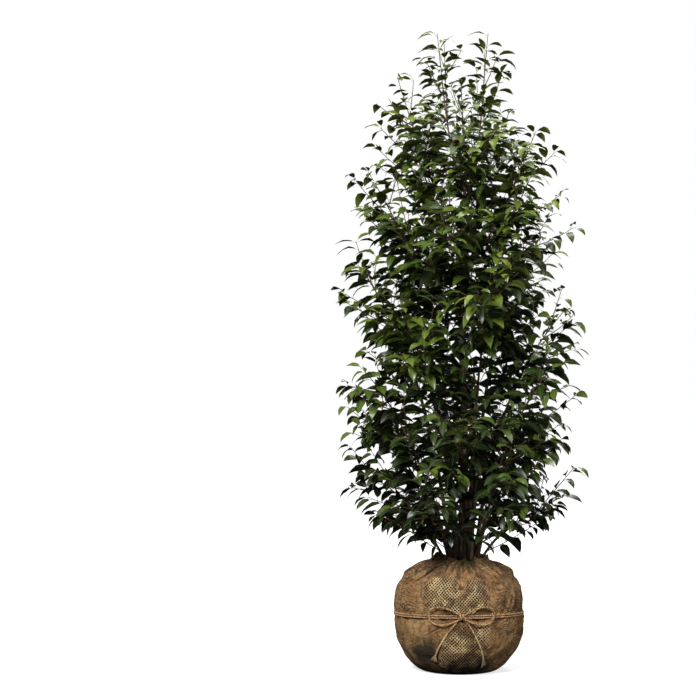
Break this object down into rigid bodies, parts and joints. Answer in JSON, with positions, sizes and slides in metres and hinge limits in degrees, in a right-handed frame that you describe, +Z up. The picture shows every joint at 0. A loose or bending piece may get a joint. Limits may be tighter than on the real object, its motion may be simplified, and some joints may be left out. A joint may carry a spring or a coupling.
{
  "type": "evergreen laurel shrub with wrapped root ball",
  "caption": "Tall multi-stemmed evergreen shrub for planting, its root ball wrapped in hessian and tied round with twine in a bow.",
  "frame": {"origin": "middle of the flat underside of the root ball", "axes": "+Z up along the plant; -Y is the front, the side with the bow; +X is to the right as seen from the front"},
  "size_m": [0.7694, 0.7901, 1.9425],
  "materials": {
    "hessian": "coarse tan-brown hessian, dry, stained with soil",
    "twine": "natural orange-tan twine",
    "bark": "dark brown young bark, slightly rough",
    "foliage": "glossy mid-green evergreen leaves, yellow-green at the young tips"
  },
  "bodies": {
    "root": {"root_ball": "hessian", "twine_upper_strand": "twine", "twine_lower_strand": "twine", "twine_knot": "twine", "twine_left_loop": "twine", "twine_right_loop": "twine", "twine_left_tail": "twine", "twine_right_tail": "twine", "trunk": "bark", "bough_skirt_1": "bark", "bough_skirt_2": "bark", "bough_skirt_3": "bark", "bough_skirt_4": "bark", "bough_skirt_5": "bark", "bough_skirt_6": "bark", "bough_low_1": "bark", "bough_low_2": "bark", "bough_low_3": "bark", "bough_low_4": "bark", "bough_low_5": "bark", "bough_low_6": "bark", "bough_middle_1": "bark", "bough_middle_2": "bark", "bough_middle_3": "bark", "bough_middle_4": "bark", "bough_middle_5": "bark", "bough_middle_6": "bark", "foliage_skirt_1": "foliage", "foliage_skirt_2": "foliage", "foliage_skirt_3": "foliage", "foliage_skirt_4": "foliage", "foliage_skirt_5": "foliage", "foliage_skirt_6": "foliage", "foliage_low_1": "foliage", "foliage_low_2": "foliage", "foliage_low_3": "foliage", "foliage_low_4": "foliage", "foliage_low_5": "foliage", "foliage_low_6": "foliage", "foliage_middle_1": "foliage", "foliage_middle_2": "foliage", "foliage_middle_3": "foliage", "foliage_middle_4": "foliage", "foliage_middle_5": "foliage", "foliage_middle_6": "foliage", "foliage_shoulder_1": "foliage", "foliage_shoulder_2": "foliage", "foliage_shoulder_3": "foliage", "foliage_shoulder_4": "foliage", "foliage_shoulder_5": "foliage", "foliage_shoulder_6": "foliage", "foliage_upper_1": "foliage", "foliage_upper_2": "foliage", "foliage_upper_3": "foliage", "foliage_upper_4": "foliage", "foliage_upper_5": "foliage", "foliage_leader_1": "foliage", "foliage_leader_2": "foliage", "foliage_top_1": "foliage"}
  },
  "joints": []
}
